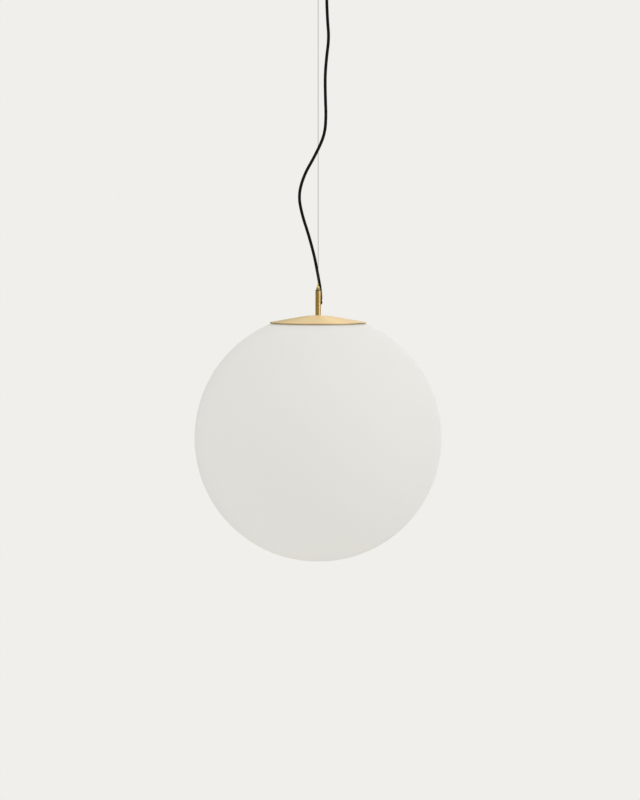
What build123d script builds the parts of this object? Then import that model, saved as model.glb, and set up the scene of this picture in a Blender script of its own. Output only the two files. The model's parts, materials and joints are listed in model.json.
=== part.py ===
from build123d import *
import math
import os

# Pendant ceiling light, in millimetres.
# The origin is the middle of the ceiling face and +Z is up, so the lamp hangs below it.
# +X is to the right of the lamp and its front faces -Y.

# Clearances
seat_gap = 0.02        # pieces that are screwed or pressed together
slip_gap = 0.05        # pieces that slide or turn in each other
swivel_gap = 0.12      # end play of the gripper in the stem
soft_gap = 0.3         # soft pieces and springs beside what they bear on
hole_gap = 0.1         # bolts and tubes in punched holes

# Suspension wire and its ball
wire_radius = 0.4
drop_to_stem = 574.9   # ceiling to the top of the stem
ball_radius = 2.5
height_range = 20.0    # how far the gripper can run down the wire
tail_spare = 6.0       # wire left below the clamping balls at the end of that range

# Ceiling bracket
bracket_thickness = 1.5
bracket_width = 22.0
bracket_drop = 10.0
bracket_foot_end = 46.0
bracket_web_top = 24.0
bracket_web_bottom = 18.0
slot_spacing = 70.0
slot_width = 5.0
slot_length = 12.0
tab_width = 18.0

# Hollow stud and nuts
stud_radius = 5.0
stud_bore = 3.0
stud_nut_flats = 16.0
stud_nut_height = 4.0
stud_end = 1.0         # stud standing past its upper nut

# Canopy
canopy_radius = 55.0
canopy_height = 28.0
canopy_wall = 1.0
canopy_edge = 5.0
ceiling_gap = 0.5

# Canopy end nut
end_nut_radius = 7.0
end_nut_grip = 9.5     # stud inside the end nut
end_nut_chamfer = 1.2
ball_headroom = 1.5    # between the end of the stud and the ball
throat_radius = 1.6
throat_flare = 30.0    # half angle of the wire outlet
outlet_length = 2.0    # flared outlet below the throat

# Cable gland in the canopy
gland_offset = 15.0
gland_flange_radius = 6.5
gland_flange_height = 2.0
gland_thread_radius = 4.6
gland_thread_length = 7.0
gland_taper_top = 5.6
gland_taper_bottom = 3.9
gland_length = 18.0
gland_nut_flats = 13.0
gland_nut_height = 4.0
gland_groove_depth = 0.7
gland_groove_width = 1.2
gland_groove_count = 3

# Mains connector
block_length = 24.0
block_width = 16.0
block_height = 12.0
block_edge = 1.0
block_start = 27.0     # from the middle of the canopy to the connector
pole_pitch = 8.0
pole_bore = 1.6
pole_screw_radius = 1.75
pole_screw_inset = 4.0
pole_screw_depth = 2.5
block_screw_radius = 1.5
block_screw_head = 2.8
block_screw_head_height = 1.8
screw_slot_width = 0.7
screw_slot_depth = 0.6

# Power cable and its cores
cable_radius = 2.7
core_radius = 0.65
core_pitch = 1.35
core_plug_in = 3.0     # core inside a terminal
arc_share = 0.45       # share of a cord's straight run that one arc may take

# Stem
stem_radius = 5.0
stem_wall = 1.0
stem_length = 44.2
bush_length = 11.0
collar_radius = 5.2
collar_height = 1.2
collar_chamfer = 0.6

# Cable entry in the side of the stem
entry_drop = 21.1      # below the top of the stem
entry_azimuth = 60.0   # from +X towards the back
entry_slope = 35.0     # upwards
grommet_wall = 0.5
grommet_bead = 5.1
grommet_height = 2.6
sheath_inset = 1.0     # end of the sheath, inside the face of the stem
core_inset = 1.6       # cores beside the middle of the stem

# Wire gripper
nose_radius = 3.6
nose_ring_height = 1.7
nose_groove = 0.45     # depth of the groove above the ring
nose_groove_height = 0.5
nose_dome_height = 4.2
nose_dome_bulge = 0.25  # how far the dome stands out of a straight cone
nose_tip_radius = 2.15
plunger_radius = 1.8
plunger_bore = 0.55
plunger_flange = 0.35  # flange outside the shank
plunger_neck_radius = 1.15
plunger_taper = 1.0    # from the shank to the neck, above the nose
knob_radius = 1.45
knob_rise = 3.6        # middle of the knob above the nose
plunger_travel = 2.0
clamp_ball_radius = 1.0
clamp_ball_count = 3
grip_angle = 6.0
grip_shoulder = 2.2    # inner shoulder above the top of the stem
barrel_wall = 0.5
cup_height = 0.7
plug_grip = 3.0
plug_flange_height = 1.6
spring_wire = 0.2
spring_turns = 5

# Cap over the globe
cap_overhang = 3.5     # past the edge of the mouth
cap_wall = 1.4
cap_crown_radius = 178.0
cap_crown_reach = 30.0
cap_edge_rounding = 0.4

# Globe and its mouth
globe_radius = 225.0
globe_wall = 3.0
mouth_radius = 84.0
mouth_rounding = 0.9
seal_thickness = 0.8
seal_cover = 2.8       # width of the seal on the outside of the glass
seal_leg = 1.6         # seal below the inner edge of the glass

# Threaded nipple and what is stacked on it under the cap
nipple_wall = 1.0
nipple_grip = 12.0
washer_radius = 9.0
washer_thickness = 1.0
nipple_nut_flats = 13.0
nipple_nut_height = 3.0
spacer_radius = 6.0
spacer_length = 7.8
carrier_thickness = 1.5
carrier_hub = 22.0
carrier_inset = 9.0    # end of an arm, inside the edge of the mouth
carrier_arm_width = 16.0
carrier_arm_count = 3
carrier_first_arm = 60.0

# Leaf springs
leaf_thickness = 0.8
leaf_width = 12.0
leaf_overlap = 23.0    # spring under its arm
leaf_bend_inset = 11.0  # bend of a spring, inside the edge of the mouth
leaf_bend_radius = 4.0
leaf_catch = 6.5       # how far a spring reaches past the edge of the mouth
leaf_tip_back = 5.0    # tip of a spring, inside the edge of the mouth
leaf_tip_drop = 18.0
rivet_radius = 2.0
rivet_head_radius = 3.4
rivet_head_height = 1.2
rivet_insets = (18.0, 8.0)  # from the end of an arm

# Lamp holder
holder_neck_radius = 7.0
holder_neck_length = 6.0
holder_neck_grip = 9.0
holder_radius = 20.0
holder_wall = 2.0
holder_dome_height = 9.0
holder_skirt = 5.0
holder_thread_length = 8.5
holder_body_length = 37.0
insert_height = 11.0
shell_wall = 0.45
shell_flange_radius = 15.5
shell_length = 22.0
contact_width = 5.0
contact_thickness = 0.5
contact_drop = 3.0

# Light bulb
base_radius = 13.2
base_length = 19.0
base_cone_height = 4.0
base_tip_radius = 4.8
base_tip_height = 1.0
housing_height = 30.0
housing_neck_radius = 14.5
housing_neck_height = 5.0
bulb_radius = 30.0
bulb_wall = 1.5
bulb_bulge = 12.0      # from the rim of the housing to the widest part of the dome

# Route of the power cable from the end of its sheath in the canopy to the end in the stem
cable_route = [
    (15.0, 0.0, -20.0),
    (15.0, 0.0, -58.0),
    (16.2, -1.0, -97.0),
    (18.3, -2.5, -128.0),
    (13.1, -4.0, -162.0),
    (11.2, -5.5, -194.0),
    (11.8, -6.5, -230.0),
    (13.0, -7.5, -268.0),
    (9.2, -8.0, -299.0),
    (-7.6, -6.5, -334.0),
    (-27.8, -3.5, -368.0),
    (-36.8, 0.0, -403.0),
    (-29.4, 3.0, -436.0),
    (-17.0, 4.6, -474.0),
    (-7.0, 5.4, -512.0),
    (-2.6, 6.2, -541.0),
    (2.6, 7.9, -568.5),
    (3.9, 7.8, -583.0),
    (4.74, 8.22, -592.86),
    (2.0, 3.465, -596.7),
]

# Levels, from the ceiling down
canopy_floor = -(ceiling_gap + canopy_height)
strap_top = -bracket_drop
strap_bottom = strap_top - bracket_thickness
stud_top = strap_top + stud_nut_height + stud_end
stud_bottom = canopy_floor - end_nut_grip
ball_level = stud_bottom - ball_headroom - ball_radius
stem_top = -drop_to_stem
stem_bottom = stem_top - stem_length
stem_bore = stem_radius - stem_wall
cap_top = stem_bottom
crown_centre = cap_top - cap_crown_radius
washer_top = crown_centre + math.sqrt((cap_crown_radius - cap_wall) ** 2 - washer_radius ** 2)
washer_bottom = washer_top - washer_thickness
upper_nut_bottom = washer_bottom - nipple_nut_height
carrier_top = upper_nut_bottom - spacer_length
carrier_bottom = carrier_top - carrier_thickness
lower_nut_bottom = carrier_bottom - nipple_nut_height
nipple_radius = stem_bore - seat_gap
nipple_bottom = lower_nut_bottom - holder_neck_grip

# Slope of the cap, and the place of the globe under it
cap_slope = math.asin(cap_crown_reach / cap_crown_radius)


def cap_outside(radius):
    """Height of the outside of the cap's flank at a radius."""
    flank_start = crown_centre + cap_crown_radius * math.cos(cap_slope)
    return flank_start - (radius - cap_crown_reach) * math.tan(cap_slope)


def cap_underside(radius):
    """Height of the inside of the cap's flank at a radius."""
    return cap_outside(radius) - cap_wall / math.cos(cap_slope)


def sphere_height(sphere, radius):
    """Height above the globe's centre of a concentric sphere at a radius."""
    return math.sqrt(sphere ** 2 - radius ** 2)


seal_inner = mouth_radius - slip_gap - seal_thickness
seal_sphere = globe_radius + slip_gap + seal_thickness
globe_centre = cap_underside(seal_inner) - soft_gap - sphere_height(seal_sphere, seal_inner)
seal_bottom = globe_centre + sphere_height(globe_radius - globe_wall, mouth_radius) - seal_leg
cap_radius = mouth_radius + cap_overhang
cap_edge_bottom = cap_underside(cap_radius)

# Carrier plate and leaf springs inside the mouth
carrier_reach = mouth_radius - carrier_inset
leaf_start = carrier_reach - leaf_overlap
leaf_bend = mouth_radius - leaf_bend_inset
rivet_places = [carrier_reach - inset for inset in rivet_insets]

# Inside of the wire gripper
ball_offset = wire_radius + slip_gap + clamp_ball_radius
grip_top_radius = plunger_radius + plunger_flange + hole_gap
grip_slope = math.tan(math.radians(grip_angle))
grip_ball_bore = ball_offset + (clamp_ball_radius + slip_gap) / math.cos(math.radians(grip_angle))
shoulder_level = stem_top + grip_shoulder
clamp_level = shoulder_level - (grip_ball_bore - grip_top_radius) / grip_slope
grip_end = clamp_level - clamp_ball_radius - plunger_travel
barrel_bore = grip_top_radius + (shoulder_level - grip_end) * grip_slope
barrel_radius = barrel_bore + barrel_wall
barrel_bottom = stem_top - bush_length - swivel_gap
nose_bottom = stem_top + collar_height + swivel_gap
dome_base = nose_bottom + nose_ring_height + nose_groove_height
nose_top = dome_base + nose_dome_height
plunger_bottom = clamp_level + clamp_ball_radius + slip_gap
cup_top = clamp_level - clamp_ball_radius - slip_gap
plug_top = barrel_bottom + plug_grip
wire_bottom = clamp_level - height_range - tail_spare

# Lamp holder and bulb levels
dome_bottom = lower_nut_bottom - holder_neck_length - holder_dome_height
thread_top = dome_bottom - holder_skirt
thread_bottom = thread_top - holder_thread_length
thread_radius = holder_radius - holder_wall
insert_bottom = thread_bottom
insert_top = insert_bottom + insert_height
body_top = thread_top - slip_gap
body_bottom = body_top - holder_body_length
bulb_tip = insert_bottom - contact_drop - slip_gap
base_top = bulb_tip - base_tip_height - base_cone_height
base_bottom = base_top - base_length
housing_bottom = base_bottom - housing_height
dome_centre = housing_bottom - bulb_bulge

# Direction of the cable entry
entry_turn = math.radians(entry_azimuth)
entry_rise = math.radians(entry_slope)
entry_out = Vector(math.cos(entry_turn), math.sin(entry_turn), 0)
entry_side = Vector(-math.sin(entry_turn), math.cos(entry_turn), 0)
entry_axis = entry_out * math.cos(entry_rise) + Vector(0, 0, math.sin(entry_rise))
entry_point = entry_out * stem_radius + Vector(0, 0, stem_top - entry_drop)
entry_plane = Plane(origin=entry_point, x_dir=entry_side, z_dir=entry_axis)
sheath_end = entry_point - entry_axis * (sheath_inset / math.cos(entry_rise))


def cylinder(radius, bottom, top):
    """Upright cylinder between two levels."""
    return Pos(0, 0, bottom) * Cylinder(radius, top - bottom, align=(Align.CENTER, Align.CENTER, Align.MIN))


def tube(outer, inner, bottom, top):
    """Upright tube between two levels."""
    return cylinder(outer, bottom, top) - cylinder(inner, bottom, top)


def revolved(*points):
    """Solid of revolution of a straight-sided profile of (radius, height) points."""
    return revolve(Plane.XZ * make_face(Polyline(*points, close=True)), Axis.Z)


def hex_nut(flats, bore, bottom, top):
    """Hexagonal nut between two levels."""
    blank = extrude(RegularPolygon(flats / 2, 6, major_radius=False), top - bottom)
    return Pos(0, 0, bottom) * blank - cylinder(bore, bottom, top)


def corner_radii(points):
    """Largest tangent arc that the two runs beside each corner of a route allow."""
    radii = []
    for before, corner, after in zip(points, points[1:], points[2:]):
        run_in = Vector(*corner) - Vector(*before)
        run_out = Vector(*after) - Vector(*corner)
        half_turn = math.radians(run_in.get_angle(run_out)) / 2
        radii.append(arc_share * min(run_in.length, run_out.length) / math.tan(half_turn))
    return radii


def cord(points, radius):
    """Round cord along straight runs joined by tangent arcs."""
    path = FilletPolyline(*points, radius=corner_radii(points))
    start = Plane(origin=path @ 0, z_dir=path % 0)
    return sweep(start * Circle(radius), path), path


# Ceiling rose

def make_bracket():
    web_angle = math.atan2(bracket_drop, bracket_web_top - bracket_web_bottom)
    miter = bracket_thickness * math.tan(web_angle / 2)
    upper = [(bracket_foot_end, 0), (bracket_web_top, 0), (bracket_web_bottom, strap_top)]
    lower = [
        (bracket_web_bottom + miter, strap_bottom),
        (bracket_web_top + miter, -bracket_thickness),
        (bracket_foot_end, -bracket_thickness),
    ]
    half = upper + [(0, strap_top), (0, strap_bottom)] + lower
    side = make_face(Polyline(*half, close=True))
    strip = extrude(Plane.YZ * side, bracket_width / 2, both=True)
    strip += mirror(strip, Plane.XZ)
    tab_length = block_start + block_width
    tab = Pos(tab_length / 2, 0, strap_bottom) * Box(
        tab_length, tab_width, bracket_thickness, align=(Align.CENTER, Align.CENTER, Align.MIN)
    )
    slot = extrude(SlotOverall(slot_length, slot_width, rotation=90), bracket_thickness, both=True)
    strip += tab
    strip -= [Pos(0, side * slot_spacing / 2, 0) * slot for side in (-1, 1)]
    strip -= cylinder(stud_radius + hole_gap, strap_bottom, strap_top)
    return strip - block_screw_place() * cylinder(block_screw_radius + seat_gap, strap_bottom, strap_top)


def block_screw_place():
    """Place of the connector's screw, between two poles."""
    return Pos(block_start + block_width / 2, pole_pitch / 2, 0)


def make_stud():
    return tube(stud_radius, stud_bore, stud_bottom, stud_top)


def make_stud_nuts():
    bore = stud_radius + seat_gap
    upper = hex_nut(stud_nut_flats, bore, strap_top, strap_top + stud_nut_height)
    lower = hex_nut(stud_nut_flats, bore, strap_bottom - stud_nut_height, strap_bottom)
    return [upper, lower]


def make_canopy():
    cup = cylinder(canopy_radius, canopy_floor, -ceiling_gap)
    cup = fillet(cup.edges().group_by(Axis.Z)[0], canopy_edge)
    inside = cylinder(canopy_radius - canopy_wall, canopy_floor + canopy_wall, -ceiling_gap)
    inside = fillet(inside.edges().group_by(Axis.Z)[0], canopy_edge - canopy_wall)
    floor_top = canopy_floor + canopy_wall
    stud_hole = cylinder(stud_radius + hole_gap, canopy_floor, floor_top)
    gland_hole = Pos(gland_offset, 0, 0) * cylinder(gland_thread_radius + hole_gap, canopy_floor, floor_top)
    return cup - inside - stud_hole - gland_hole


def make_end_nut():
    bore = stud_radius + seat_gap
    chamber = ball_radius + soft_gap
    seat = (ball_radius + slip_gap) * math.sqrt(2)
    chamber_end = ball_level + chamber - seat
    throat = ball_level + throat_radius - seat
    bottom = throat - outlet_length
    outlet = throat_radius + outlet_length * math.tan(math.radians(throat_flare))
    return revolved(
        (bore, canopy_floor),
        (end_nut_radius, canopy_floor),
        (end_nut_radius, bottom + end_nut_chamfer),
        (end_nut_radius - end_nut_chamfer, bottom),
        (outlet, bottom),
        (throat_radius, throat),
        (chamber, chamber_end),
        (chamber, stud_bottom),
        (bore, stud_bottom),
    )


def make_gland():
    bore = cable_radius + seat_gap
    thread_top = canopy_floor + gland_thread_length
    flange_bottom = canopy_floor - gland_flange_height
    bottom = canopy_floor - gland_length
    body = revolved(
        (bore, thread_top),
        (gland_thread_radius, thread_top),
        (gland_thread_radius, canopy_floor),
        (gland_flange_radius, canopy_floor),
        (gland_flange_radius, flange_bottom),
        (gland_taper_top, flange_bottom),
        (gland_taper_bottom, bottom),
        (bore, bottom),
    )
    taper = flange_bottom - bottom
    for index in range(gland_groove_count):
        middle = flange_bottom - taper * (index + 1) / (gland_groove_count + 1)
        surface = gland_taper_top + (gland_taper_bottom - gland_taper_top) * (flange_bottom - middle) / taper
        half = gland_groove_width / 2
        body -= tube(gland_flange_radius, surface - gland_groove_depth, middle - half, middle + half)
    return Pos(gland_offset, 0, 0) * body


def make_gland_nut():
    bottom = canopy_floor + canopy_wall
    nut = hex_nut(gland_nut_flats, gland_thread_radius + seat_gap, bottom, bottom + gland_nut_height)
    return Pos(gland_offset, 0, 0) * nut


def pole_offsets():
    """Positions of the connector's poles along its length."""
    return [-pole_pitch, 0, pole_pitch]


def pole_screw_places():
    """Places of the two screws of each pole."""
    reaches = (block_start + pole_screw_inset, block_start + block_width - pole_screw_inset)
    return [Pos(reach, pole, 0) for reach in reaches for pole in pole_offsets()]


def make_terminal_block():
    bottom = strap_bottom - block_height
    middle = strap_bottom - block_height / 2
    block = Pos(block_start + block_width / 2, 0, middle) * Box(block_width, block_length, block_height)
    block = fillet(block.edges().filter_by(Axis.Z), block_edge)
    for pole in pole_offsets():
        bore = Pos(block_start + block_width / 2, pole, middle) * Rot(0, 90, 0)
        block -= bore * Cylinder(pole_bore, block_width)
    well = cylinder(pole_screw_radius + hole_gap, bottom, middle)
    block -= [place * well for place in pole_screw_places()]
    screw_hole = cylinder(block_screw_radius + hole_gap, bottom, strap_bottom)
    head_well = cylinder(block_screw_head + hole_gap, bottom, bottom + block_screw_head_height)
    return block - block_screw_place() * (screw_hole + head_well)


def make_terminal_screws():
    middle = strap_bottom - block_height / 2
    top = middle - core_radius - slip_gap
    screw = cylinder(pole_screw_radius, top - pole_screw_depth, top)
    slot = Box(2 * pole_screw_radius, screw_slot_width, 2 * screw_slot_depth)
    screw -= Pos(0, 0, top - pole_screw_depth) * slot
    return [place * screw for place in pole_screw_places()]


def make_block_screw():
    bottom = strap_bottom - block_height
    head_top = bottom + block_screw_head_height
    slot = Pos(0, 0, bottom) * Box(2 * block_screw_head, screw_slot_width, 2 * screw_slot_depth)
    screw = cylinder(block_screw_head, bottom, head_top) + cylinder(block_screw_radius, head_top, strap_top)
    return block_screw_place() * (screw - slot)


def make_feed_cores():
    start = Vector(*cable_route[0])
    middle = strap_bottom - block_height / 2
    cores = []
    for index, pole in enumerate(pole_offsets()):
        shift = (index - 1) * core_pitch
        rise = [(start.X, shift, start.Z), (start.X, shift, middle)]
        fan = [(block_start, pole, middle)] if pole else []
        end = [(block_start + core_plug_in, pole, middle)]
        cores.append(cord(rise + fan + end, core_radius)[0])
    return cores


# Suspension wire

def make_ball_stop():
    return Pos(0, 0, ball_level) * Sphere(ball_radius)


def make_wire():
    rope = cylinder(wire_radius, wire_bottom, ball_level)
    return rope - Pos(0, 0, ball_level) * Sphere(ball_radius + slip_gap)


def make_power_cable():
    cable, path = cord(cable_route, cable_radius)
    radii = [round(radius, 1) for radius in corner_radii(cable_route)]
    share = cable.volume / (math.pi * cable_radius ** 2 * path.length)
    print("cable radii", radii)
    print("cable length", round(path.length, 1), "volume share", round(share, 4))
    return cable


# Stem and wire gripper

def make_stem():
    stem = tube(stem_radius, stem_bore, stem_bottom, stem_top)
    hole_radius = cable_radius + seat_gap + grommet_wall + seat_gap
    hole = entry_plane * Cylinder(hole_radius, 2 * stem_radius)
    return stem - hole


def make_bush():
    bore = barrel_radius + slip_gap
    outer = stem_bore - seat_gap
    collar_top = stem_top + collar_height
    return revolved(
        (bore, stem_top - bush_length),
        (outer, stem_top - bush_length),
        (outer, stem_top),
        (collar_radius, stem_top),
        (collar_radius, collar_top - collar_chamfer),
        (collar_radius - collar_chamfer, collar_top),
        (bore, collar_top),
    )


def make_grommet():
    outer = cable_radius + seat_gap + grommet_wall
    bore = cable_radius + seat_gap
    below = 2 * stem_wall
    neck = entry_plane * cylinder(outer, -below, grommet_height)
    bead = entry_plane * cylinder(grommet_bead, -grommet_height, grommet_height)
    bead = fillet(bead.edges().group_by(Axis(entry_point, entry_axis))[-1], grommet_height / 2)
    bead -= cylinder(stem_radius + seat_gap, stem_bottom, stem_top)
    inside = cylinder(stem_bore - stem_wall / 2, stem_bottom, stem_top)
    opening = entry_plane * Cylinder(bore, 6 * stem_radius)
    return bead + (neck - inside) - opening


def make_gripper_body():
    dome_middle = ((nose_radius + nose_tip_radius) / 2 + nose_dome_bulge, (dome_base + nose_top) / 2)
    dome = ThreePointArc((nose_tip_radius, nose_top), dome_middle, (nose_radius, dome_base))
    ring_top = nose_bottom + nose_ring_height
    groove_radius = nose_radius - nose_groove
    bore = plunger_radius + slip_gap
    below = Polyline(
        (nose_radius, dome_base),
        (groove_radius, dome_base),
        (groove_radius, ring_top),
        (nose_radius, ring_top),
        (nose_radius, nose_bottom),
        (barrel_radius, nose_bottom),
        (barrel_radius, barrel_bottom),
        (barrel_bore, barrel_bottom),
        (barrel_bore, grip_end),
        (grip_top_radius, shoulder_level),
        (bore, shoulder_level),
        (bore, nose_top),
        (nose_tip_radius, nose_top),
    )
    return revolve(Plane.XZ * make_face([dome, *below.edges()]), Axis.Z)


def make_plunger():
    flange_radius = plunger_radius + plunger_flange
    flange_top = shoulder_level - slip_gap
    knob_level = nose_top + knob_rise
    knob_top = knob_level + math.sqrt(knob_radius ** 2 - plunger_bore ** 2)
    knob_bottom = knob_level - math.sqrt(knob_radius ** 2 - plunger_neck_radius ** 2)
    knob = ThreePointArc(
        (plunger_bore, knob_top), (knob_radius, knob_level), (plunger_neck_radius, knob_bottom)
    )
    below = Polyline(
        (plunger_neck_radius, knob_bottom),
        (plunger_neck_radius, nose_top + plunger_taper),
        (plunger_radius, nose_top),
        (plunger_radius, flange_top),
        (flange_radius, flange_top),
        (flange_radius, plunger_bottom),
        (plunger_bore, plunger_bottom),
        (plunger_bore, knob_top),
    )
    return revolve(Plane.XZ * make_face([knob, *below.edges()]), Axis.Z)


def make_clamp_balls():
    ball = Pos(ball_offset, 0, clamp_level) * Sphere(clamp_ball_radius)
    return [Rot(0, 0, 360 * index / clamp_ball_count) * ball for index in range(clamp_ball_count)]


def make_ball_cup():
    return tube(grip_top_radius, plunger_bore + hole_gap, cup_top - cup_height, cup_top)


def make_gripper_spring():
    bottom = plug_top + spring_wire + slip_gap
    top = cup_top - cup_height - spring_wire - slip_gap
    radius = grip_top_radius - spring_wire - hole_gap
    coil = Pos(0, 0, bottom) * Helix((top - bottom) / spring_turns, top - bottom, radius)
    return sweep(Plane(origin=coil @ 0, z_dir=coil % 0) * Circle(spring_wire), coil, is_frenet=True)


def make_gripper_plug():
    bore = plunger_bore + hole_gap
    flange_radius = stem_bore - hole_gap
    return revolved(
        (bore, plug_top),
        (barrel_bore - seat_gap, plug_top),
        (barrel_bore - seat_gap, barrel_bottom),
        (flange_radius, barrel_bottom),
        (flange_radius, barrel_bottom - plug_flange_height),
        (bore, barrel_bottom - plug_flange_height),
    )


# Cap and what is stacked under it

def make_cap():
    hole = nipple_radius + hole_gap
    inner_crown = cap_crown_radius - cap_wall
    lean = (math.sin(cap_slope), math.cos(cap_slope))
    half_lean = (math.sin(cap_slope / 2), math.cos(cap_slope / 2))

    def crown_arc(radius):
        start = (0, crown_centre + radius)
        middle = (radius * half_lean[0], crown_centre + radius * half_lean[1])
        end = (radius * lean[0], crown_centre + radius * lean[1])
        return start, ThreePointArc(start, middle, end), end

    outer_start, outer_arc, outer_end = crown_arc(cap_crown_radius)
    inner_start, inner_arc, inner_end = crown_arc(inner_crown)
    edge_top = (cap_radius, cap_outside(cap_radius))
    flank = Polyline(outer_end, edge_top, (cap_radius, cap_edge_bottom), inner_end)
    section = make_face([outer_arc, *flank.edges(), inner_arc, Line(inner_start, outer_start)])
    corners = section.vertices().filter_by_position(Axis.X, cap_radius - slip_gap, cap_radius + slip_gap)
    section = fillet(corners, cap_edge_rounding)
    return revolve(Plane.XZ * section, Axis.Z) - cylinder(hole, cap_edge_bottom, cap_top)


def make_nipple():
    return tube(nipple_radius, nipple_radius - nipple_wall, nipple_bottom, stem_bottom + nipple_grip)


def make_nipple_nuts():
    bore = nipple_radius + seat_gap
    upper = hex_nut(nipple_nut_flats, bore, upper_nut_bottom, washer_bottom)
    lower = hex_nut(nipple_nut_flats, bore, lower_nut_bottom, carrier_bottom)
    return [upper, lower]


def make_nipple_washer():
    return tube(washer_radius, nipple_radius + hole_gap, washer_bottom, washer_top)


def make_nipple_spacer():
    return tube(spacer_radius, nipple_radius + hole_gap, carrier_top, upper_nut_bottom)


def arm_turns():
    """Turn of each arm of the carrier plate."""
    step = 360 / carrier_arm_count
    return [Rot(0, 0, carrier_first_arm + step * index) for index in range(carrier_arm_count)]


def rivet_holes(bottom, top):
    """Rivet holes of one arm."""
    return [Pos(place, 0, 0) * cylinder(rivet_radius + seat_gap, bottom, top) for place in rivet_places]


def make_carrier():
    plate = cylinder(carrier_hub, carrier_bottom, carrier_top)
    half_width = carrier_arm_width / 2
    arm_length = carrier_reach - half_width
    arm = Pos(arm_length / 2, 0, carrier_bottom) * Box(
        arm_length, carrier_arm_width, carrier_thickness, align=(Align.CENTER, Align.CENTER, Align.MIN)
    )
    arm += Pos(arm_length, 0, 0) * cylinder(half_width, carrier_bottom, carrier_top)
    arm -= rivet_holes(carrier_bottom, carrier_top)
    for turn in arm_turns():
        plate += turn * arm
    return plate - cylinder(nipple_radius + hole_gap, carrier_bottom, carrier_top)


def make_leaf_springs():
    level = carrier_bottom - leaf_thickness / 2
    touch = seal_bottom - soft_gap - leaf_thickness
    fall = (level - touch) / (seal_inner - leaf_bend)
    catch = mouth_radius + leaf_catch
    catch_level = level - fall * (catch - leaf_bend)
    path = FilletPolyline(
        (leaf_start, 0, level),
        (leaf_bend, 0, level),
        (catch, 0, catch_level),
        (mouth_radius - leaf_tip_back, 0, catch_level - leaf_tip_drop),
        radius=leaf_bend_radius,
    )
    start = Plane(origin=path @ 0, x_dir=(0, 1, 0), z_dir=path % 0)
    leaf = sweep(start * Rectangle(leaf_width, leaf_thickness), path)
    leaf -= rivet_holes(carrier_bottom - leaf_thickness, carrier_bottom)
    return [turn * leaf for turn in arm_turns()]


def make_rivets():
    leaf_bottom = carrier_bottom - leaf_thickness
    rivet = cylinder(rivet_radius, leaf_bottom, carrier_top)
    rivet += cylinder(rivet_head_radius, leaf_bottom - rivet_head_height, leaf_bottom)
    rivet += cylinder(rivet_head_radius, carrier_top, carrier_top + rivet_head_height)
    places = [Pos(place, 0, 0) for place in rivet_places]
    return [turn * place * rivet for turn in arm_turns() for place in places]


# Globe and seal

def sphere_arc(sphere, radius):
    """Arc of a sphere about the globe's centre from a radius near the top down to its lowest point."""
    middle = math.atan2(radius, sphere_height(sphere, radius)) / 2 + math.pi / 2
    return ThreePointArc(
        (radius, globe_centre + sphere_height(sphere, radius)),
        (sphere * math.sin(middle), globe_centre + sphere * math.cos(middle)),
        (0, globe_centre - sphere),
    )


def make_globe():
    inner = globe_radius - globe_wall
    outer_top = globe_centre + sphere_height(globe_radius, mouth_radius)
    inner_top = globe_centre + sphere_height(inner, mouth_radius)
    outline = [
        sphere_arc(globe_radius, mouth_radius),
        Line((0, globe_centre - globe_radius), (0, globe_centre - inner)),
        sphere_arc(inner, mouth_radius),
        Line((mouth_radius, inner_top), (mouth_radius, outer_top)),
    ]
    section = make_face(outline)
    lips = section.vertices().filter_by_position(Axis.X, mouth_radius - slip_gap, mouth_radius + slip_gap)
    section = fillet(lips, mouth_rounding)
    return revolve(Plane.XZ * section, Axis.Z)


def make_seal():
    inside = globe_radius + slip_gap
    leg_face = mouth_radius - slip_gap
    cover = mouth_radius + seal_cover

    def cover_arc(sphere, start, end):
        middle = (start + end) / 2
        return ThreePointArc(
            (start, globe_centre + sphere_height(sphere, start)),
            (middle, globe_centre + sphere_height(sphere, middle)),
            (end, globe_centre + sphere_height(sphere, end)),
        )

    cover_inside = cover * inside / seal_sphere
    outer = cover_arc(seal_sphere, seal_inner, cover)
    inner = cover_arc(inside, leg_face, cover_inside)
    outline = [
        outer,
        Line(outer @ 1, inner @ 1),
        inner,
        Polyline(inner @ 0, (leg_face, seal_bottom), (seal_inner, seal_bottom), outer @ 0),
    ]
    edges = [edge for item in outline for edge in item.edges()]
    return revolve(Plane.XZ * make_face(edges), Axis.Z)


# Lamp holder and bulb

def make_holder_cap():
    neck_bottom = lower_nut_bottom - holder_neck_length
    bore = nipple_radius + seat_gap
    inside = thread_radius - holder_wall
    return revolved(
        (bore, lower_nut_bottom),
        (holder_neck_radius, lower_nut_bottom),
        (holder_neck_radius, neck_bottom),
        (holder_radius, dome_bottom),
        (holder_radius, thread_top),
        (thread_radius, thread_top),
        (thread_radius, thread_bottom),
        (inside, thread_bottom),
        (inside, dome_bottom - holder_wall),
        (holder_neck_radius, nipple_bottom - slip_gap),
        (bore, nipple_bottom - slip_gap),
    )


def core_places():
    """Where the cores run down inside the stem."""
    return [entry_out * core_inset + entry_side * (index * core_pitch) for index in (-1, 0, 1)]


def make_holder_insert():
    inside = thread_radius - holder_wall - seat_gap
    insert = cylinder(inside, insert_bottom, insert_top)
    for place in core_places():
        hole = cylinder(core_radius + hole_gap, insert_top - core_plug_in, insert_top)
        insert -= Pos(place.X, place.Y, 0) * hole
    return insert


def make_holder_contacts():
    reach = base_tip_radius + contact_width
    bottom = insert_bottom - contact_drop
    strip = FilletPolyline(
        (-reach, 0, insert_bottom - contact_thickness / 2),
        (-base_tip_radius, 0, insert_bottom - contact_thickness / 2),
        (0, 0, bottom + contact_thickness / 2),
        (base_tip_radius, 0, bottom + contact_drop / 2),
        radius=contact_drop / 2,
    )
    plane = Plane(origin=strip @ 0, x_dir=(0, 1, 0), z_dir=strip % 0)
    return sweep(plane * Rectangle(contact_width, contact_thickness), strip)


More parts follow.
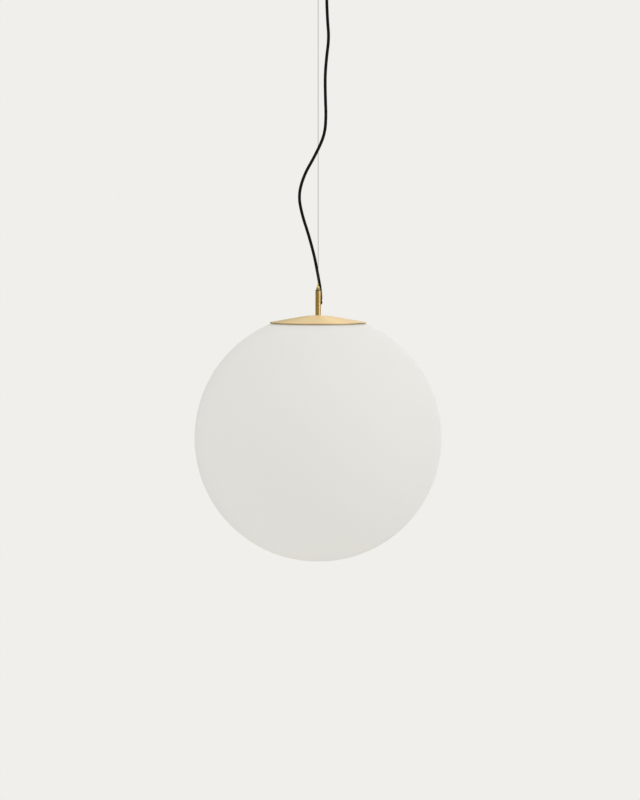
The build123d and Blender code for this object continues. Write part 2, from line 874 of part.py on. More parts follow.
def make_screw_shell():
    inner = base_radius + soft_gap
    outer = inner + shell_wall
    shell_bottom = insert_bottom - shell_length
    shell = tube(outer, inner, shell_bottom, insert_bottom)
    return shell + tube(shell_flange_radius, inner, insert_bottom - shell_wall, insert_bottom)


def make_holder_body():
    inside = shell_flange_radius + slip_gap
    return revolved(
        (thread_radius + slip_gap, body_top),
        (holder_radius, body_top),
        (holder_radius, body_bottom),
        (inside, body_bottom),
        (inside, thread_bottom - slip_gap),
        (thread_radius + slip_gap, thread_bottom - slip_gap),
    )


def make_bulb_base():
    return revolved(
        (0, bulb_tip),
        (base_tip_radius, bulb_tip),
        (base_tip_radius, bulb_tip - base_tip_height),
        (base_radius, base_top),
        (base_radius, base_bottom),
        (0, base_bottom),
    )


def make_bulb_housing():
    rim = math.sqrt(bulb_radius ** 2 - bulb_bulge ** 2)
    neck_bottom = base_bottom - housing_neck_height
    neck = Polyline((0, base_bottom), (housing_neck_radius, base_bottom), (housing_neck_radius, neck_bottom))
    flare = TangentArc((housing_neck_radius, neck_bottom), (rim, housing_bottom), tangent=(0, -1))
    closing = Polyline((rim, housing_bottom), (0, housing_bottom), (0, base_bottom))
    return revolve(Plane.XZ * make_face([*neck.edges(), *flare.edges(), *closing.edges()]), Axis.Z)


def make_bulb_dome():
    whole = Sphere(bulb_radius) - Sphere(bulb_radius - bulb_wall)
    above = Pos(0, 0, bulb_bulge) * Box(
        2 * bulb_radius, 2 * bulb_radius, bulb_radius, align=(Align.CENTER, Align.CENTER, Align.MIN)
    )
    return Pos(0, 0, dome_centre) * (whole - above)


def make_lamp_cores():
    cores = []
    for index, place in enumerate(core_places()):
        start = sheath_end + entry_side * ((index - 1) * core_pitch)
        back = (sheath_end.dot(entry_out) - place.dot(entry_out)) * math.tan(entry_rise)
        route = [
            tuple(start),
            (place.X, place.Y, start.Z - back),
            (place.X, place.Y, insert_top - core_plug_in),
        ]
        cores.append(cord(route, core_radius)[0])
    return cores


nodes = {
    "ceiling_bracket": make_bracket(),
    "hollow_stud": make_stud(),
    "stud_nuts": make_stud_nuts(),
    "canopy": make_canopy(),
    "canopy_nut": make_end_nut(),
    "cable_gland": make_gland(),
    "gland_nut": make_gland_nut(),
    "terminal_block": make_terminal_block(),
    "terminal_screws": make_terminal_screws(),
    "block_screw": make_block_screw(),
    "feed_cores": make_feed_cores(),
    "ball_stop": make_ball_stop(),
    "suspension_wire": make_wire(),
    "power_cable": make_power_cable(),
    "stem_tube": make_stem(),
    "stem_bush": make_bush(),
    "cable_grommet": make_grommet(),
    "gripper_body": make_gripper_body(),
    "release_plunger": make_plunger(),
    "gripper_balls": make_clamp_balls(),
    "ball_cup": make_ball_cup(),
    "gripper_spring": make_gripper_spring(),
    "gripper_plug": make_gripper_plug(),
    "cap_dish": make_cap(),
    "nipple": make_nipple(),
    "nipple_nuts": make_nipple_nuts(),
    "nipple_washer": make_nipple_washer(),
    "nipple_spacer": make_nipple_spacer(),
    "carrier_plate": make_carrier(),
    "leaf_springs": make_leaf_springs(),
    "spring_rivets": make_rivets(),
    "globe_glass": make_globe(),
    "mouth_seal": make_seal(),
    "holder_cap": make_holder_cap(),
    "holder_insert": make_holder_insert(),
    "holder_contacts": make_holder_contacts(),
    "screw_shell": make_screw_shell(),
    "holder_body": make_holder_body(),
    "bulb_base": make_bulb_base(),
    "bulb_housing": make_bulb_housing(),
    "bulb_dome": make_bulb_dome(),
    "lamp_cores": make_lamp_cores(),
}

os.makedirs("parts", exist_ok=True)
for name, shape in nodes.items():
    items = shape if isinstance(shape, list) else [shape]
    solids = [solid for item in items for solid in item.solids()]
    export_step(Compound(children=solids), f"parts/{name}.step")
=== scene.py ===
import bpy
import json
import math
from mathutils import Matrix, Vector


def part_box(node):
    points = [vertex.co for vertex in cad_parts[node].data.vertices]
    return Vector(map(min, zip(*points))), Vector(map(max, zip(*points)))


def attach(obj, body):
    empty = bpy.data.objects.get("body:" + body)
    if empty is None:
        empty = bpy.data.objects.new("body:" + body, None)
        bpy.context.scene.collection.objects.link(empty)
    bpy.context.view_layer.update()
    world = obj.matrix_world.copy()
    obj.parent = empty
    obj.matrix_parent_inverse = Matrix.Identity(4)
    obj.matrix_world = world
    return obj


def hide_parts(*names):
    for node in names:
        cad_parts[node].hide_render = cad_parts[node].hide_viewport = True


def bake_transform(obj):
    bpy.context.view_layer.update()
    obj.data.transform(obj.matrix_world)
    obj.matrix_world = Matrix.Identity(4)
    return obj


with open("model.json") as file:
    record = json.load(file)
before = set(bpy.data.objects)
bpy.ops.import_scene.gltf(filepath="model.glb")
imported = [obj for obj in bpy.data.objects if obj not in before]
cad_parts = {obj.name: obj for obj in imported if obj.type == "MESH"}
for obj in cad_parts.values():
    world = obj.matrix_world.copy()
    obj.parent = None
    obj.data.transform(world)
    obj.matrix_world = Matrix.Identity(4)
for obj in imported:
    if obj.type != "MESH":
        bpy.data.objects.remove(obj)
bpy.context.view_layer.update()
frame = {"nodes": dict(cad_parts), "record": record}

MM = 0.001

# Camera, from the photograph: 640 by 800 pixels, the lamp's axis about two pixels left of the middle
IMAGE_HEIGHT_PX = 800
FOCAL_PX = 1294.5
SENSOR_MM = 36.0
CAMERA_DISTANCE = 2.35
CAMERA_LEVEL = -0.555
CAMERA_PITCH_DEG = 5.31
CAMERA_SIDE = 0.0033

# Background that the camera sees, and the even light on the lamp
BACKGROUND = (0.871, 0.863, 0.831)
FILL_COLOUR = (1.0, 0.998, 0.985)
FILL_STRENGTH = 0.90

# What metal reflects: a dim room in front, a pale ceiling, a window to the right, and the wall behind, which
# is dim on its left and bright on its right. Each pair of numbers says where a part begins and where it is
# full, by how far a ray points towards it, from 0 for across to 1 for straight at it.
ROOM = (0.27, 0.23, 0.105)
CEILING = (1.10, 1.07, 0.99)
CEILING_TOWARDS = (0.0, 0.0, 1.0)
CEILING_EDGE = (0.25, 0.60)
WALL_LEFT = (0.20, 0.19, 0.17)
WALL_RIGHT = (1.45, 1.45, 1.62)
WALL_TOWARDS = (0.0, 1.0, 0.0)
WALL_EDGE = (0.55, 0.90)
WALL_RIGHT_TOWARDS = (1.0, 0.0, 0.4)
WALL_RIGHT_EDGE = (0.04, 0.20)
WINDOW = (1.45, 1.40, 1.30)
WINDOW_TOWARDS = (0.866, -0.5, 0.0)
WINDOW_EDGE = (0.88, 0.97)

# Key light, high on the right in front
KEY_PLACE = (2.2, -1.2, 1.2)
KEY_TARGET = (0.0, 0.0, -0.75)
KEY_SIZE = 2.0
KEY_POWER = 9
KEY_COLOUR = (1.0, 0.985, 0.96)

# Floor
FLOOR_LEVEL = -2.6
FLOOR_RADIUS = 1.6
FLOOR_SIDES = 96
FLOOR_DARKER = (0.91, 0.90, 0.86)
FLOOR_LIGHTER = (0.93, 0.92, 0.88)
FLOOR_ROUGHNESS = 0.8

# Route of the power cable: the route in the part's source, moved by up to 2.5 mm to follow the photograph
CABLE_ROUTE_MM = [
    (15.0, 0.0, -20.0),
    (15.0, 0.0, -58.0),
    (16.6, -1.0, -97.0),
    (19.2, -2.5, -128.0),
    (14.9, -4.0, -162.0),
    (12.3, -5.5, -194.0),
    (12.8, -6.5, -230.0),
    (14.2, -7.5, -268.0),
    (11.3, -8.0, -299.0),
    (-5.3, -6.5, -334.0),
    (-25.3, -3.5, -368.0),
    (-35.4, 0.0, -403.0),
    (-29.8, 3.0, -436.0),
    (-17.3, 4.6, -474.0),
    (-7.0, 5.4, -512.0),
    (-1.4, 6.2, -541.0),
    (3.6, 7.9, -568.5),
    (4.7, 7.8, -583.0),
    (5.0, 8.1, -592.86),
    (2.0, 3.465, -596.7),
]
CABLE_DIAMETER = 0.0054
CABLE_SIDES = 24
CABLE_STEPS = 14

# Pieces of the cable: name, body above, body below, and the two levels between which it passes over to it
CABLE_SPANS = [
    ("cable_top", "ceiling_rose", "ball", -0.050, -0.110),
    ("cable_upper", "ball", "wire", -0.112, -0.240),
    ("cable_middle", "wire", "gripper", -0.245, -0.420),
    ("cable_lower", "gripper", "pendant", -0.430, -0.562),
]

# Cores of the cable: which way they lie beside each other, half of their pitch, and their colours
CABLE_ENTRY = math.radians(60.0)
FEED_CORES_ACROSS = (0.0, 1.0, 0.0)
LAMP_CORES_ACROSS = (-math.sin(CABLE_ENTRY), math.cos(CABLE_ENTRY), 0.0)
CORE_EDGE = 0.000675
CORE_BAND_SCALE = 200.0
CORE_YELLOW_FROM = 0.6
BROWN = (0.115, 0.045, 0.018)
BLUE = (0.018, 0.085, 0.310)
GREEN = (0.030, 0.190, 0.035)
YELLOW = (0.640, 0.500, 0.035)
BLACK = (0.0, 0.0, 0.0)
WHITE = (1.0, 1.0, 1.0)

# Suspension wire: one turn of its strands takes the lay, and the groove is a share of the wire's radius
WIRE_STRANDS = 6
WIRE_LAY = 0.009
WIRE_GROOVE = 0.16
WIRE_RING_STEP = 0.001
SIDES_PER_STRAND = 5

# Spring of the wire gripper
SPRING_WIRE_RADIUS = 0.0002
SPRING_TURNS = 5
SPRING_STEPS_PER_TURN = 32
SPRING_SIDES = 10

# Lamp holder: bores of its body, and the ribs for the fingers between two plain collars
HOLDER_BORE = 0.01555
HOLDER_THREAD_BORE = 0.01805
HOLDER_THREAD_LENGTH = 0.0085
HOLDER_CHAMFER = 0.0006
HOLDER_LOWER_COLLAR = 0.006
HOLDER_UPPER_COLLAR = 0.008
HOLDER_RIBS = 40
HOLDER_RIB_DEPTH = 0.0009
HOLDER_STEPS_PER_RIB = 8

# Spun brass: how metallic the lacquer looks, and the radii between which it gives way to the bare cut edge
LACQUERED_METALLIC = 0.5
CUT_EDGE = (0.0870, 0.0873)

# Where the darker and the lighter colour of a mottled surface are reached, as values of the noise
MOTTLE_LOW = 0.3
MOTTLE_HIGH = 0.7

# Edges that are bent by more than this are drawn sharp
SHARP_ANGLE = math.radians(40)


# Mesh helpers

def turn(sides):
    """Angles of evenly spaced points around a circle."""
    return [2 * math.pi * step / sides for step in range(sides)]


def new_object(name, vertices, faces, material):
    mesh = bpy.data.meshes.new(name)
    mesh.from_pydata([tuple(vertex) for vertex in vertices], [], faces)
    mesh.update()
    for polygon in mesh.polygons:
        polygon.use_smooth = True
    mesh.set_sharp_from_angle(angle=SHARP_ANGLE)
    obj = bpy.data.objects.new(name, mesh)
    bpy.context.scene.collection.objects.link(obj)
    obj.data.materials.append(material)
    return obj


def ring_faces(rings, sides, closed):
    """Faces between each ring of points and the next, and from the last to the first if they are closed."""
    faces = []
    for ring in range(rings if closed else rings - 1):
        low = ring * sides
        high = (ring + 1) % rings * sides
        for step in range(sides):
            after = (step + 1) % sides
            faces.append((low + step, low + after, high + after, high + step))
    return faces


def grooved_lathe(name, profile, material, grooves, steps_per_groove):
    """Turns a closed profile about the lamp's axis. Its points are (radius, height, depth of the grooves)."""
    sides = grooves * steps_per_groove
    vertices = []
    for radius, height, depth in profile:
        for angle in turn(sides):
            reach = radius - depth * (0.5 + 0.5 * math.cos(grooves * angle)) ** 2
            vertices.append((reach * math.cos(angle), reach * math.sin(angle), height))
    return new_object(name, vertices, ring_faces(len(profile), sides, closed=True), material)


def tube_rings(points, section):
    """Rings of points around a line. The section gives the points of one ring, by its number."""
    rings = []
    side = Vector((0, 1, 0))
    for index, point in enumerate(points):
        before = points[max(index - 1, 0)]
        after = points[min(index + 1, len(points) - 1)]
        along = (after - before).normalized()
        side = (side - along * side.dot(along)).normalized()
        other = along.cross(side)
        rings.append([point + side * a + other * b for a, b in section(index)])
    return rings


def round_section(radius, sides):
    circle = [(radius * math.cos(angle), radius * math.sin(angle)) for angle in turn(sides)]
    return lambda index: circle


def rings_to_object(name, rings, material, cap_start, cap_end):
    sides = len(rings[0])
    vertices = [vertex for ring in rings for vertex in ring]
    faces = ring_faces(len(rings), sides, closed=False)
    if cap_start:
        faces.append(tuple(reversed(range(sides))))
    if cap_end:
        faces.append(tuple(range(len(vertices) - sides, len(vertices))))
    return new_object(name, vertices, faces, material)


def spline_points(points, steps):
    """Points of a smooth spline that has the given points as its control points."""
    data = bpy.data.curves.new("route", "CURVE")
    data.dimensions = "3D"
    data.resolution_u = steps
    spline = data.splines.new("NURBS")
    spline.points.add(len(points) - 1)
    for item, point in zip(spline.points, points):
        item.co = (*point, 1)
    spline.order_u = 3
    spline.use_endpoint_u = True
    holder = bpy.data.objects.new("route", data)
    bpy.context.scene.collection.objects.link(holder)
    bpy.context.view_layer.update()
    mesh = bpy.data.meshes.new_from_object(holder)
    line = [vertex.co.copy() for vertex in mesh.vertices]
    bpy.data.objects.remove(holder)
    bpy.data.meshes.remove(mesh)
    bpy.data.curves.remove(data)
    return line


def first_below(points, level):
    """Number of the first point of a line that lies below a level."""
    return next(index for index, point in enumerate(points) if point.z < level)


# Materials

class Nodes:
    """Short access to one material's nodes."""

    def __init__(self, name):
        self.material = bpy.data.materials.new(name)
        self.material.use_nodes = True
        self.tree = self.material.node_tree
        self.shader = self.tree.nodes["Principled BSDF"]

    def add(self, kind, **values):
        """New node with some of its inputs or settings given."""
        node = self.tree.nodes.new(kind)
        for key, value in values.items():
            if key in node.inputs:
                node.inputs[key].default_value = value
            else:
                setattr(node, key, value)
        return node

    def link(self, source, target):
        self.tree.links.new(source, target)

    def set(self, **values):
        """Gives inputs of the shader one value all over."""
        for key, value in values.items():
            self.shader.inputs[key.replace("_", " ")].default_value = value

    def place(self):
        """Place of each point of the surface."""
        return self.add("ShaderNodeTexCoord").outputs["Object"]

    def radius(self):
        """Distance from the lamp's axis."""
        flat = self.add("ShaderNodeVectorMath", operation="MULTIPLY")
        flat.inputs[1].default_value = (1, 1, 0)
        length = self.add("ShaderNodeVectorMath", operation="LENGTH")
        self.link(self.place(), flat.inputs[0])
        self.link(flat.outputs["Vector"], length.inputs[0])
        return length.outputs["Value"]

    def noise(self, scale, detail, stretch=(1, 1, 1)):
        mapping = self.add("ShaderNodeMapping")
        mapping.inputs["Scale"].default_value = stretch
        noise = self.add("ShaderNodeTexNoise", Scale=scale, Detail=detail)
        self.link(self.place(), mapping.inputs["Vector"])
        self.link(mapping.outputs["Vector"], noise.inputs["Vector"])
        return noise.outputs["Fac"]

    def rings(self, scale):
        """Fine uneven rings about the lamp's axis, as a turning tool leaves them."""
        rings = self.add("ShaderNodeTexNoise", noise_dimensions="1D", Scale=scale, Detail=2.0)
        self.link(self.radius(), rings.inputs["W"])
        return rings.outputs["Fac"]

    def spread(self, factor, start, end, low, high):
        """Maps a factor between start and end to values between low and high."""
        spread = self.add("ShaderNodeMapRange")
        for key, value in zip(("From Min", "From Max", "To Min", "To Max"), (start, end, low, high)):
            spread.inputs[key].default_value = value
        self.link(factor, spread.inputs["Value"])
        return spread.outputs["Result"]

    def ramp(self, factor, stops, interpolation):
        """Colour by a factor. Each stop is a value of the factor and the colour there."""
        ramp = self.add("ShaderNodeValToRGB")
        ramp.color_ramp.interpolation = interpolation
        while len(ramp.color_ramp.elements) < len(stops):
            ramp.color_ramp.elements.new(1.0)
        for element, (position, colour) in zip(ramp.color_ramp.elements, stops):
            element.position = position
            element.color = (*colour, 1)
        self.link(factor, ramp.inputs["Fac"])
        return ramp.outputs["Color"]

    def steps(self, factor, stops):
        """Plain colours one after the other, each from its own stop on."""
        return self.ramp(factor, stops, "CONSTANT")

    def colour(self, factor, low, high):
        """Surface that is mottled between two colours."""
        mottled = self.ramp(factor, ((MOTTLE_LOW, low), (MOTTLE_HIGH, high)), "LINEAR")
        self.link(mottled, self.shader.inputs["Base Color"])

    def roughness(self, factor, low, high):
        self.link(self.spread(factor, 0, 1, low, high), self.shader.inputs["Roughness"])

    def bump(self, height, distance, strength):
        bump = self.add("ShaderNodeBump", Strength=strength, Distance=distance)
        self.link(height, bump.inputs["Height"])
        self.link(bump.outputs["Normal"], self.shader.inputs["Normal"])


def spun_brass():
    """Lacquered sheet brass with the fine rings of spinning."""
    nodes = Nodes("spun_brass")
    nodes.set(Specular_Tint=(0.98, 0.93, 0.82, 1), Anisotropic=0.8, Anisotropic_Rotation=0.25)
    tangent = nodes.add("ShaderNodeTangent", direction_type="RADIAL", axis="Z")
    nodes.link(tangent.outputs["Tangent"], nodes.shader.inputs["Tangent"])
    nodes.colour(nodes.noise(scale=9.0, detail=4.0), low=(0.835, 0.655, 0.372), high=(0.88, 0.69, 0.402))
    nodes.roughness(nodes.rings(scale=700.0), low=0.56, high=0.68)
    metallic = nodes.spread(nodes.radius(), *CUT_EDGE, LACQUERED_METALLIC, 1.0)
    nodes.link(metallic, nodes.shader.inputs["Metallic"])
    nodes.bump(nodes.rings(scale=1400.0), distance=0.00002, strength=0.3)
    return nodes.material


def brushed_brass(name, low, high):
    nodes = Nodes(name)
    nodes.set(Metallic=1.0, Anisotropic=0.3)
    nodes.colour(nodes.noise(scale=40.0, detail=4.0), low, high)
    nodes.roughness(nodes.noise(scale=300.0, detail=3.0, stretch=(1, 1, 0.05)), low=0.24, high=0.36)
    nodes.bump(nodes.noise(scale=1500.0, detail=2.0, stretch=(1, 1, 0.04)), distance=0.00002, strength=0.35)
    return nodes.material


def opal_glass():
    nodes = Nodes("opal_glass")
    nodes.set(Subsurface_Weight=0.25, Subsurface_Scale=0.004, Subsurface_Radius=(1.0, 0.95, 0.85))
    nodes.set(Specular_IOR_Level=0.2, IOR=1.5)
    nodes.colour(nodes.noise(scale=3.5, detail=3.0), low=(0.820, 0.810, 0.780), high=(0.835, 0.825, 0.797))
    nodes.roughness(nodes.noise(scale=25.0, detail=3.0), low=0.55, high=0.62)
    nodes.bump(nodes.noise(scale=700.0, detail=2.0), distance=0.00003, strength=0.2)
    return nodes.material


def cable_sheath():
    nodes = Nodes("cable_sheath")
    nodes.set(Specular_IOR_Level=0.06)
    mottle = nodes.noise(scale=120.0, detail=4.0)
    nodes.colour(mottle, low=(0.0050, 0.0050, 0.0047), high=(0.0090, 0.0089, 0.0084))
    nodes.roughness(nodes.noise(scale=260.0, detail=3.0), low=0.50, high=0.66)
    nodes.bump(nodes.noise(scale=2600.0, detail=2.0), distance=0.00005, strength=0.4)
    return nodes.material


def plain_metal(name, low, high, roughness, stretch=(1, 1, 1)):
    nodes = Nodes(name)
    nodes.set(Metallic=1.0)
    nodes.colour(nodes.noise(scale=70.0, detail=4.0), low, high)
    nodes.roughness(nodes.noise(scale=400.0, detail=3.0, stretch=stretch), *roughness)
    nodes.bump(nodes.noise(scale=1200.0, detail=3.0, stretch=stretch), distance=0.00002, strength=0.3)
    return nodes.material


def plastic(name, low, high, roughness, grain):
    nodes = Nodes(name)
    nodes.colour(nodes.noise(scale=30.0, detail=4.0), low, high)
    nodes.roughness(nodes.noise(scale=200.0, detail=3.0), *roughness)
    nodes.bump(nodes.noise(scale=grain, detail=2.0), distance=0.00004, strength=0.4)
    return nodes.material


def core_colours(name, across):
    """Brown, green with yellow, and blue insulation, on three cores that lie side by side."""
    nodes = Nodes(name)
    nodes.roughness(nodes.noise(scale=200.0, detail=3.0), low=0.32, high=0.42)
    place = nodes.place()
    beside = nodes.add("ShaderNodeVectorMath", operation="DOT_PRODUCT")
    beside.inputs[1].default_value = across
    nodes.link(place, beside.inputs[0])
    share = nodes.spread(beside.outputs["Value"], -3 * CORE_EDGE, 3 * CORE_EDGE, 0, 1)
    bands = nodes.add("ShaderNodeTexWave", bands_direction="DIAGONAL", Scale=CORE_BAND_SCALE)
    nodes.link(place, bands.inputs["Vector"])
    outer = nodes.steps(share, ((0.0, BROWN), (0.5, BLUE)))
    middle = nodes.steps(bands.outputs["Fac"], ((0.0, GREEN), (CORE_YELLOW_FROM, YELLOW)))
    is_middle = nodes.steps(share, ((0.0, BLACK), (1 / 3, WHITE), (2 / 3, BLACK)))
    mix = nodes.add("ShaderNodeMixRGB")
    nodes.link(is_middle, mix.inputs["Fac"])
    nodes.link(outer, mix.inputs["Color1"])
    nodes.link(middle, mix.inputs["Color2"])
    nodes.link(mix.outputs["Color"], nodes.shader.inputs["Base Color"])
    return nodes.material


SPUN_BRASS = spun_brass()
BRUSHED_BRASS = brushed_brass("brushed_brass", (0.72, 0.525, 0.215), (0.79, 0.585, 0.265))
TURNED_BRASS = brushed_brass("turned_brass", (0.52, 0.43, 0.165), (0.60, 0.50, 0.205))
OPAL = opal_glass()
SHEATH = cable_sheath()
WIRE_STEEL = plain_metal("wire_steel", (0.14, 0.14, 0.135), (0.22, 0.22, 0.21), roughness=(0.32, 0.45))
ZINC = plain_metal("zinc_steel", (0.50, 0.52, 0.54), (0.62, 0.63, 0.62), roughness=(0.28, 0.42))
SPRING = plain_metal(
    "spring_steel", (0.28, 0.29, 0.31), (0.38, 0.38, 0.39), roughness=(0.26, 0.40), stretch=(1, 0.1, 1),
)
CONTACT = plain_metal("contact_brass", (0.62, 0.45, 0.20), (0.72, 0.55, 0.27), roughness=(0.25, 0.38))
BLACK_PLASTIC = plastic(
    "black_plastic", (0.012, 0.012, 0.012), (0.018, 0.018, 0.017), roughness=(0.42, 0.55), grain=1800.0,
)
WHITE_PLASTIC = plastic(
    "white_plastic", (0.74, 0.74, 0.72), (0.80, 0.80, 0.78), roughness=(0.30, 0.40), grain=900.0,
)
PORCELAIN = plastic("porcelain", (0.74, 0.73, 0.69), (0.82, 0.81, 0.78), roughness=(0.25, 0.45), grain=700.0)
SILICONE = plastic("silicone", (0.66, 0.66, 0.63), (0.72, 0.72, 0.69), roughness=(0.35, 0.5), grain=1000.0)
FEED_CORES = core_colours("feed_core_insulation", FEED_CORES_ACROSS)
LAMP_CORES = core_colours("lamp_core_insulation", LAMP_CORES_ACROSS)
BULB_WHITE = plastic(
    "bulb_white", (0.80, 0.80, 0.79), (0.86, 0.86, 0.85), roughness=(0.30, 0.45), grain=1200.0,
)

SLOT_MATERIALS = {
    "satin_brass": BRUSHED_BRASS,
    "zinc_steel": ZINC,
    "spring_steel": SPRING,
    "wire_steel": WIRE_STEEL,
    "opal_glass": OPAL,
    "black_sheath": SHEATH,
    "black_plastic": BLACK_PLASTIC,
    "clear_silicone": SILICONE,
    "white_plastic": WHITE_PLASTIC,
    "porcelain": PORCELAIN,
    "core_insulation": FEED_CORES,
    "contact_brass": CONTACT,
    "bulb_white": BULB_WHITE,
}

NODE_MATERIALS = {
    "cap_dish": SPUN_BRASS,
    "canopy": SPUN_BRASS,
    "gripper_body": TURNED_BRASS,
    "release_plunger": TURNED_BRASS,
    "lamp_cores": LAMP_CORES,
}


def dress_nodes():
    """Gives every CAD node a material of its own or the one of its slot."""
    for entry in frame["record"]["subparts"]:
        name = entry["node"]
        materials = frame["nodes"][name].data.materials
        materials.clear()
        materials.append(NODE_MATERIALS.get(name, SLOT_MATERIALS[entry["material_slot"]]))


# Cords

def make_cable():
    """Loose power cable, in one piece for each two bodies that it passes between."""
    line = spline_points([Vector(point) * MM for point in CABLE_ROUTE_MM], CABLE_STEPS)
    rings = tube_rings(line, round_section(CABLE_DIAMETER / 2, CABLE_SIDES))
    first = 0
    for order, (name, upper, lower, start, end) in enumerate(CABLE_SPANS):
        is_last = order == len(CABLE_SPANS) - 1
        last = len(line) - 1 if is_last else first_below(line, end)
        piece = rings_to_object(name, rings[first:last + 1], SHEATH, cap_start=order == 0, cap_end=is_last)
        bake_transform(piece)
        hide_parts("power_cable")
        first = last


def make_wire():
    """Steel wire rope with its strands."""
    low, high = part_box("suspension_wire")
    radius = (high.x - low.x) / 2
    steps = round((high.z - low.z) / WIRE_RING_STEP)
    line = [Vector((0, 0, high.z + (low.z - high.z) * step / steps)) for step in range(steps + 1)]

    def strands(index):
        twist = 2 * math.pi * index * WIRE_RING_STEP / WIRE_LAY
        points = []
        for angle in turn(SIDES_PER_STRAND * WIRE_STRANDS):
            lobe = abs(math.sin(WIRE_STRANDS * angle / 2))
            reach = radius * (1 - WIRE_GROOVE * (1 - lobe))
            points.append((reach * math.cos(angle + twist), reach * math.sin(angle + twist)))
        return points

    wire = rings_to_object("wire_rope", tube_rings(line, strands), WIRE_STEEL, cap_start=True, cap_end=True)
    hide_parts("suspension_wire")
    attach(wire, "wire")


# Wire gripper

def make_gripper_spring():
    """Coil spring under the clamping balls, drawn at the length of the part. The real spring shortens as the
    plunger goes down.
    """
    low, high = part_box("gripper_spring")
    radius = (high.x - low.x) / 2 - SPRING_WIRE_RADIUS
    bottom = low.z + SPRING_WIRE_RADIUS
    top = high.z - SPRING_WIRE_RADIUS
    steps = SPRING_TURNS * SPRING_STEPS_PER_TURN
    line = []
    for step in range(steps + 1):
        angle = 2 * math.pi * step / SPRING_STEPS_PER_TURN
        height = bottom + (top - bottom) * step / steps
        line.append(Vector((radius * math.cos(angle), radius * math.sin(angle), height)))
    rings = tube_rings(line, round_section(SPRING_WIRE_RADIUS, SPRING_SIDES))
    spring = rings_to_object("grip_spring", rings, SPRING, cap_start=True, cap_end=True)
    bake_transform(spring)
    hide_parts("gripper_spring")


# Lamp holder

def make_holder_grip():
    """Body of the lamp holder with ribs between two plain collars."""
    low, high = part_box("holder_body")
    outer = (high.x - low.x) / 2
    bottom, top = low.z, high.z
    shoulder = top - HOLDER_THREAD_LENGTH
    ribs_bottom = bottom + HOLDER_LOWER_COLLAR
    ribs_top = top - HOLDER_UPPER_COLLAR
    profile = [
        (HOLDER_BORE, bottom, 0),
        (outer - HOLDER_CHAMFER, bottom, 0),
        (outer, bottom + HOLDER_CHAMFER, 0),
        (outer, ribs_bottom, 0),
        (outer, ribs_bottom + HOLDER_RIB_DEPTH, HOLDER_RIB_DEPTH),
        (outer, ribs_top - HOLDER_RIB_DEPTH, HOLDER_RIB_DEPTH),
        (outer, ribs_top, 0),
        (outer, top - HOLDER_CHAMFER, 0),
        (outer - HOLDER_CHAMFER, top, 0),
        (HOLDER_THREAD_BORE, top, 0),
        (HOLDER_THREAD_BORE, shoulder, 0),
        (HOLDER_BORE, shoulder, 0),
    ]
    grip = grooved_lathe("holder_grip", profile, BLACK_PLASTIC, HOLDER_RIBS, HOLDER_STEPS_PER_RIB)
    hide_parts("holder_body")
    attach(grip, "pendant")


# Stage, light and camera

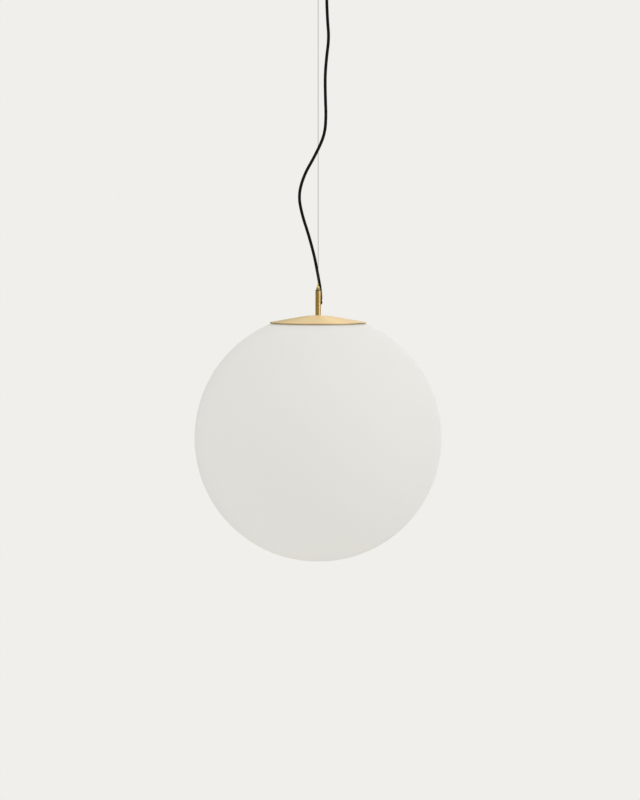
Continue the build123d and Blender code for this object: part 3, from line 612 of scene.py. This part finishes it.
def make_world():
    """A plain pale wall to the camera, an even light on dull surfaces, and a room in what metal reflects."""
    world = bpy.data.worlds.new("studio")
    bpy.context.scene.world = world
    world.use_nodes = True
    nodes, links = world.node_tree.nodes, world.node_tree.links
    nodes.clear()
    output = nodes.new("ShaderNodeOutputWorld")
    path = nodes.new("ShaderNodeLightPath")
    where = nodes.new("ShaderNodeTexCoord")

    def background(colour, strength=1.0):
        node = nodes.new("ShaderNodeBackground")
        node.inputs["Color"].default_value = (*colour, 1)
        node.inputs["Strength"].default_value = strength
        return node

    def choose(factor, no, yes):
        mix = nodes.new("ShaderNodeMixShader")
        links.new(factor, mix.inputs["Fac"])
        links.new(no.outputs[0], mix.inputs[1])
        links.new(yes.outputs[0], mix.inputs[2])
        return mix

    def towards(direction, edge):
        """How far a ray points in a direction: 0 below the edge's first value, 1 above its second."""
        dot = nodes.new("ShaderNodeVectorMath")
        dot.operation = "DOT_PRODUCT"
        dot.inputs[1].default_value = Vector(direction).normalized()
        rise = nodes.new("ShaderNodeMapRange")
        rise.interpolation_type = "SMOOTHSTEP"
        rise.inputs["From Min"].default_value, rise.inputs["From Max"].default_value = edge
        links.new(where.outputs["Generated"], dot.inputs[0])
        links.new(dot.outputs["Value"], rise.inputs["Value"])
        return rise.outputs["Result"]

    pale = background(BACKGROUND)
    fill = background(FILL_COLOUR, FILL_STRENGTH)
    on_right = towards(WALL_RIGHT_TOWARDS, WALL_RIGHT_EDGE)
    wall = choose(on_right, background(WALL_LEFT), background(WALL_RIGHT))
    room = choose(towards(CEILING_TOWARDS, CEILING_EDGE), background(ROOM), background(CEILING))
    room = choose(towards(WALL_TOWARDS, WALL_EDGE), room, wall)
    room = choose(towards(WINDOW_TOWARDS, WINDOW_EDGE), room, background(WINDOW))
    lit = choose(path.outputs["Is Glossy Ray"], fill, room)
    through = choose(path.outputs["Is Transmission Ray"], lit, pale)
    whole = choose(path.outputs["Is Camera Ray"], through, pale)
    links.new(whole.outputs[0], output.inputs["Surface"])


def make_floor():
    nodes = Nodes("floor")
    nodes.set(Roughness=FLOOR_ROUGHNESS)
    nodes.colour(nodes.noise(scale=2.0, detail=2.0), FLOOR_DARKER, FLOOR_LIGHTER)
    edge = []
    for angle in turn(FLOOR_SIDES):
        edge.append((FLOOR_RADIUS * math.cos(angle), FLOOR_RADIUS * math.sin(angle), FLOOR_LEVEL))
    new_object("floor", edge, [range(FLOOR_SIDES)], nodes.material)


def make_key_light():
    data = bpy.data.lights.new("key", "AREA")
    data.shape = "DISK"
    data.size = KEY_SIZE
    data.energy = KEY_POWER
    data.color = KEY_COLOUR
    light = bpy.data.objects.new("key", data)
    bpy.context.scene.collection.objects.link(light)
    light.location = KEY_PLACE
    light.rotation_euler = (Vector(KEY_TARGET) - Vector(KEY_PLACE)).to_track_quat("-Z", "Y").to_euler()


def make_camera():
    data = bpy.data.cameras.new("camera")
    data.sensor_width = SENSOR_MM
    data.lens = FOCAL_PX / IMAGE_HEIGHT_PX * SENSOR_MM
    camera = bpy.data.objects.new("camera", data)
    bpy.context.scene.collection.objects.link(camera)
    camera.location = (CAMERA_SIDE, -CAMERA_DISTANCE, CAMERA_LEVEL)
    camera.rotation_euler = (math.radians(90 - CAMERA_PITCH_DEG), 0, 0)
    bpy.context.scene.camera = camera


dress_nodes()
make_cable()
make_wire()
make_gripper_spring()
make_holder_grip()
make_world()
make_floor()
make_key_light()
make_camera()
bpy.context.scene.view_settings.view_transform = "Standard"
